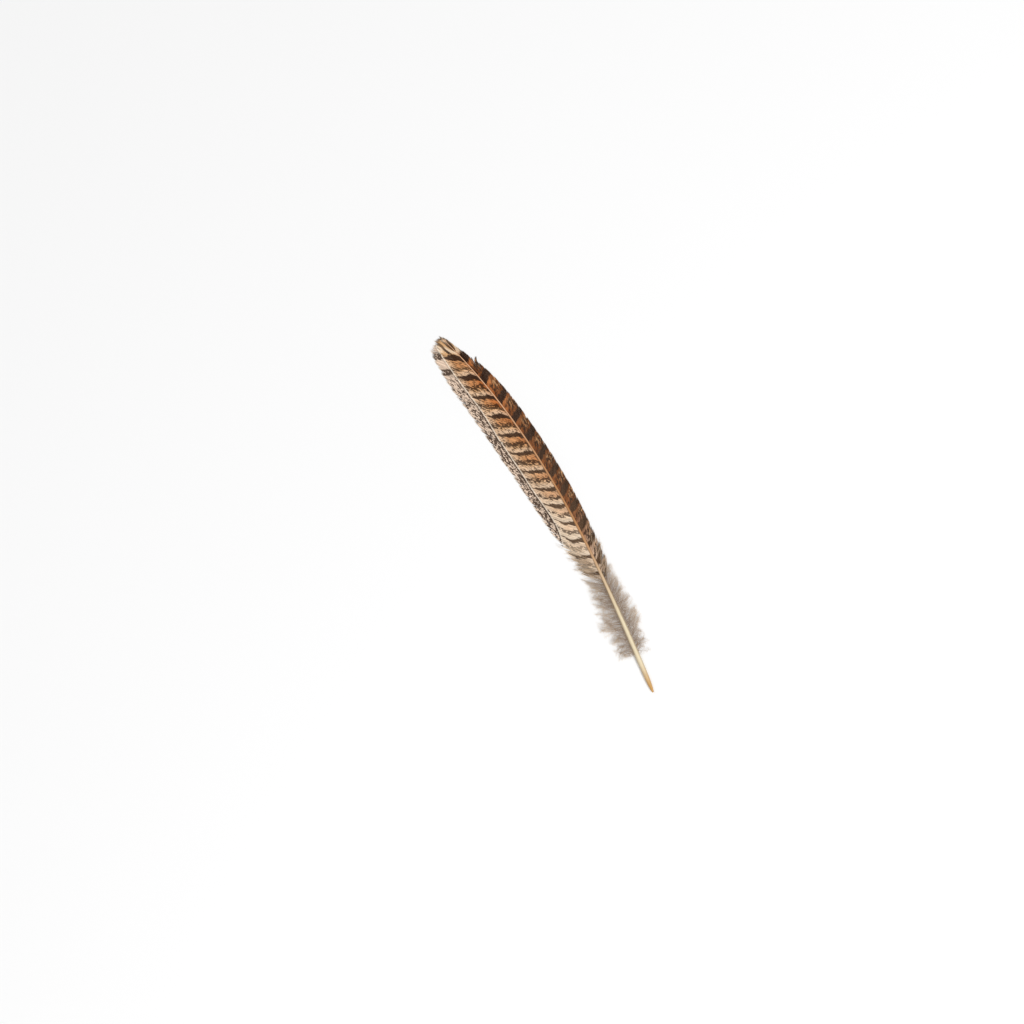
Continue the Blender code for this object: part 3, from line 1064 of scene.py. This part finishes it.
def vane_guides(name, vane, locks, sizes, seed):
    """Guide lines for all the barbs of a vane, with what the blades and colours need."""
    chance = np.random.default_rng(seed)
    spacing = sizes.barb_spacing / MM
    roots = np.arange(SHAFT_START, DOWN_START + VANE_OVERLAP, spacing)
    roots = roots + chance.uniform(-ROOT_UNEVENNESS, ROOT_UNEVENNESS, len(roots)) * spacing
    barbs = Barbs(vane, locks, np.maximum(roots, SHAFT_START), sizes.barb_points)
    stray = loosen(barbs, chance, sizes.stray_barbs)
    fray = soft_curve(FRAYING, barbs.roots)[:, None]
    shorten(barbs, chance, fray)
    if vane is NARROW:
        add_tuft(barbs, chance)
    raise_barbs(barbs, chance, len(locks["short"]), stray)

    r = barbs.shares
    point = POINT_LENGTH[0] + POINT_LENGTH[1] * fray
    ends = np.clip((1 - r) / point, 0, 1) ** 0.7 * np.clip(r / 0.01, 0, 1)
    half = np.clip(barbs.spacing() * spacing * sizes.barb_overlap / 2, *BARB_HALF_WIDTHS)
    half = half * soft_curve(BARB_FULLNESS, barbs.roots)[:, None] * ends
    points = barbs.points()
    side, rise = frames_along(points)
    along = barbs.lengths()
    line = soft_curve(vane.line, barbs.grown_down)
    lie = np.stack([barbs.grown_down, barbs.grown_out, barbs.grown_out - line], axis=-1)
    luck = np.broadcast_to(chance.random((len(roots), 1)), along.shape)
    root = np.broadcast_to(barbs.roots[:, None], along.shape)
    number = np.broadcast_to(np.arange(len(roots))[:, None], along.shape)
    spot = np.stack([number, np.broadcast_to(r, along.shape), np.zeros_like(along)], axis=-1)
    return guide_object(name, points, {
        "side": side, "rise": rise, "width_share": half / BARB_HALF_WIDTHS[1],
        "depth_share": (1 - BARB_THINNING * r) * ends, "lie": lie,
        "strand": np.stack([root, along, luck], axis=-1), "rim": along[:, -1:] - along,
        "spot": spot})


def map_barbs(mesh, rows):
    """A bake map that gives each barb a column of its own, upper side beside lower side."""
    spot = read_vectors(mesh, "spot")
    profile = read_vectors(mesh, "profile")
    columns = math.ceil((spot[:, 0].max() + 1) / rows)
    corner = np.empty(len(mesh.loops), int)
    mesh.loops.foreach_get("vertex_index", corner)
    total = np.empty(len(mesh.polygons), int)
    mesh.polygons.foreach_get("loop_total", total)
    face = np.repeat(np.arange(len(total)), total)
    height = np.bincount(face, profile[corner, 1]) / total
    upper = height[face] > 0
    across = (np.clip(profile[corner, 0], -1, 1) + 1) / 2
    number = np.rint(spot[corner, 0])
    start, run = [np.where(upper, *pair) for pair in zip(MAP_UPPER, MAP_LOWER)]
    u = (number // rows + start + across * run) / columns
    v = (number % rows + MAP_ALONG[0] + spot[corner, 1] * MAP_ALONG[1]) / rows
    layer = mesh.uv_layers.new(name=BAKE_MAP)
    layer.data.foreach_set("uv", np.stack([u, v], axis=-1).ravel())


def down_guides(name, vane, locks, sizes, seed):
    """Guide lines for the downy barbs, which curl more and more towards the quill."""
    chance = np.random.default_rng(seed)
    spacing = sizes.ramus_spacing / MM
    roots = np.arange(FLUFF[0][0], QUILL_START - 0.3, spacing)
    roots = roots + chance.uniform(-DOWN_UNEVENNESS, DOWN_UNEVENNESS, len(roots)) * spacing
    barbs = Barbs(vane, locks, roots, DOWN_POINTS)
    count = len(roots)
    r = barbs.shares[None, :]
    phase = chance.uniform(0, 2 * math.pi, (count, 1))
    waves = chance.uniform(*DOWN_WAVES, (count, 1))
    curl = soft_curve(DOWN_CURL, roots)[:, None]
    sway = np.sin(phase + r * waves * 2 * math.pi) - np.sin(phase)
    hook = chance.uniform(-1.2, 1, (count, 1)) * curl * DOWN_HOOK
    barbs.down = barbs.down + curl * sway * r * 0.9 - hook * r ** 2
    reach = np.cos(phase * 1.7 + r * waves * 5.1) - np.cos(phase * 1.7)
    barbs.out = barbs.out * chance.uniform(*DOWN_LENGTHS, (count, 1)) + curl * reach * r * 0.5
    heave = chance.uniform(*DOWN_HEAVE, (count, 1)) * r * (1 - 0.5 * r)
    barbs.lift = (np.sin(phase * 2.3 + r * waves * 4.4) * 0.4 * r + heave) * curl
    points = barbs.points()
    side, rise = frames_along(points)
    ends = np.clip((1 - r) / 0.15, 0, 1) * np.clip(r / 0.02, 0, 1) * np.ones((count, 1))
    thin = (1 - DOWN_THINNING * r) * ends
    along = barbs.lengths()
    fluff = np.clip(along / 1.5, 0.3, 1) * np.clip((1 - r) * 4 + 0.4, 0, 1)
    fluff = fluff * soft_curve(FLUFF, roots)[:, None]
    luck = np.broadcast_to(chance.random((count, 1)), along.shape)
    root = np.broadcast_to(barbs.roots[:, None], along.shape)
    return guide_object(name, points, {
        "side": side, "rise": rise, "width_share": thin, "depth_share": thin,
        "strand": np.stack([root, along, luck], axis=-1), "fluff": fluff})


class FEATHER_OT_make_shaft(bpy.types.Operator):
    """Make the shaft and its bare quill"""

    bl_idname = "feather.make_shaft"
    bl_label = "Make Shaft"

    def execute(self, context):
        piece = build_shaft()
        piece.data.materials.append(shaft_material(context.scene.feather_shaft))
        hand_over(piece, "shaft")
        return {"FINISHED"}


class FEATHER_OT_make_vanes(bpy.types.Operator):
    """Make the barbs of the broad and the narrow vane"""

    bl_idname = "feather.make_vanes"
    bl_label = "Make Vanes"

    def execute(self, context):
        sizes = context.scene.feather_vanes
        locks = draw_locks()
        blades = blade_tree()
        for name, vane, material, seed in (
            ("broad_vane", BROAD, broad_material(sizes), 11),
            ("narrow_vane", NARROW, narrow_material(sizes), 12),
        ):
            piece = vane_guides(name, vane, locks[vane], sizes, seed)
            run_tree(piece, blades, {
                "Half width": BARB_HALF_WIDTHS[1] * MM, "Half depth": sizes.barb_depth,
                "Finish": material})
            tidy_faces(piece.data, sharp=True)
            map_barbs(piece.data, rows=4)
            drop_attributes(piece.data, ("side", "rise", "centre", "spot", "width_share",
                                         "depth_share"))
            hand_over(piece, name)
        return {"FINISHED"}


class FEATHER_OT_make_down(bpy.types.Operator):
    """Make the downy barbs and their barbules"""

    bl_idname = "feather.make_down"
    bl_label = "Make Down"

    def execute(self, context):
        sizes = context.scene.feather_down
        locks = draw_locks()
        fluff = fluff_tree(blade_tree())
        material = down_material(sizes)
        for name, vane, seed in (("broad_down", BROAD, 21), ("narrow_down", NARROW, 22)):
            piece = down_guides(name, vane, locks[vane], sizes, seed)
            run_tree(piece, fluff, {
                "Half width": sizes.ramus_width,
                "Half depth": sizes.ramus_width * DOWN_FLATNESS,
                "Spacing": sizes.barbule_spacing, "Barbule length": sizes.barbule_length,
                "Barbule width": sizes.barbule_width, "Seed": seed, "Finish": material})
            tidy_faces(piece.data, sharp=False)
            drop_attributes(piece.data, ("side", "rise", "centre", "width_share",
                                         "depth_share", "fluff"))
            hand_over(piece, name)
        return {"FINISHED"}


def picture_axes():
    """Unit vectors on the floor that point right and up in the picture, and mm per pixel."""
    right_px = TIP_PIXEL[0] - QUILL_PIXEL[0]
    up_px = QUILL_PIXEL[1] - TIP_PIXEL[1]
    turn = -math.atan2(up_px, right_px)
    right = Vector((math.cos(turn), math.sin(turn), 0))
    up = Vector((-math.sin(turn), math.cos(turn), 0))
    return right, up, LENGTH / math.hypot(right_px, up_px)


def add_camera():
    """A camera that looks straight down with the feather where the picture has it."""
    right, up, scale = picture_axes()
    middle = Vector((0, BOX_SHIFT, 0))
    shift_right = (TIP_PIXEL[0] + QUILL_PIXEL[0] - PICTURE_SIDE) / 2
    shift_down = (TIP_PIXEL[1] + QUILL_PIXEL[1] - PICTURE_SIDE) / 2
    centre = middle - right * shift_right * scale + up * shift_down * scale
    distance = PICTURE_SIDE * scale * LENS / SENSOR
    camera = bpy.data.objects.new("camera", bpy.data.cameras.new("camera"))
    camera.data.lens = LENS
    camera.data.sensor_width = SENSOR
    turned = Matrix((right, up, (0, 0, 1))).transposed()
    camera.matrix_world = Matrix.LocRotScale((centre + Vector((0, 0, distance))) * MM,
                                             turned, None)
    bpy.context.scene.collection.objects.link(camera)
    bpy.context.scene.camera = camera


def add_lamp(name, power, side, bearing, height, distance):
    """A soft square light on the middle, its bearing counted from the picture's right."""
    right, up, _ = picture_axes()
    turn, rise = math.radians(bearing), math.radians(height)
    way = (right * math.cos(turn) + up * math.sin(turn)) * math.cos(rise)
    way += Vector((0, 0, math.sin(rise)))
    lamp = bpy.data.objects.new(name, bpy.data.lights.new(name, "AREA"))
    lamp.data.energy = power
    lamp.data.size = side
    lamp.location = way * distance
    lamp.rotation_mode = "QUATERNION"
    lamp.rotation_quaternion = (-way).to_track_quat("-Z", "Y")
    bpy.context.scene.collection.objects.link(lamp)


def add_floor(look):
    half = look.floor_side / 2
    mesh = bpy.data.meshes.new("floor")
    mesh.from_pydata([(-half, -half, 0), (half, -half, 0), (half, half, 0), (-half, half, 0)],
                     [], [(0, 1, 2, 3)])
    material, _, surface = new_material("plain_floor", 0.9, 0.1)
    surface.inputs["Base Color"].default_value = look.floor
    mesh.materials.append(material)
    floor = bpy.data.objects.new("floor", mesh)
    bpy.context.scene.collection.objects.link(floor)


class FEATHER_OT_make_stage(bpy.types.Operator):
    """Make the pale floor, the soft lights and the camera"""

    bl_idname = "feather.make_stage"
    bl_label = "Make Stage"

    def execute(self, context):
        look = context.scene.feather_stage
        add_floor(look)
        add_lamp("key_light", look.key_power, look.key_side, *KEY_LAMP)
        add_lamp("fill_light", look.fill_power, look.key_side * 2, *FILL_LAMP)
        world = bpy.data.worlds.new("studio")
        world.use_nodes = True
        world.node_tree.nodes["Background"].inputs["Color"].default_value = (1, 1, 1, 1)
        world.node_tree.nodes["Background"].inputs["Strength"].default_value = look.sky
        context.scene.world = world
        context.scene.view_settings.view_transform = "Standard"
        add_camera()
        return {"FINISHED"}


class FEATHER_PT_maker(bpy.types.Panel):
    """Lists what the feather is made of"""

    bl_idname = "FEATHER_PT_maker"
    bl_label = "Tail Feather"
    bl_space_type = "VIEW_3D"
    bl_region_type = "UI"
    bl_category = "Feather"

    def draw(self, context):
        for maker, settings in (
            (FEATHER_OT_make_shaft, context.scene.feather_shaft),
            (FEATHER_OT_make_vanes, context.scene.feather_vanes),
            (FEATHER_OT_make_down, context.scene.feather_down),
            (FEATHER_OT_make_stage, context.scene.feather_stage),
        ):
            box = self.layout.box()
            box.operator(maker.bl_idname)
            for key in settings.__annotations__:
                box.prop(settings, key)


CLASSES = (VaneSettings, ShaftSettings, DownSettings, StageSettings, FEATHER_OT_make_shaft,
           FEATHER_OT_make_vanes, FEATHER_OT_make_down, FEATHER_OT_make_stage, FEATHER_PT_maker)


def register():
    for item in CLASSES:
        bpy.utils.register_class(item)
    bpy.types.Scene.feather_shaft = PointerProperty(type=ShaftSettings)
    bpy.types.Scene.feather_vanes = PointerProperty(type=VaneSettings)
    bpy.types.Scene.feather_down = PointerProperty(type=DownSettings)
    bpy.types.Scene.feather_stage = PointerProperty(type=StageSettings)


def unregister():
    for name in ("feather_shaft", "feather_vanes", "feather_down", "feather_stage"):
        delattr(bpy.types.Scene, name)
    for item in reversed(CLASSES):
        bpy.utils.unregister_class(item)


def main():
    register()
    bpy.ops.feather.make_shaft()
    bpy.ops.feather.make_vanes()
    bpy.ops.feather.make_down()
    bpy.ops.feather.make_stage()


if __name__ == "__main__":
    main()
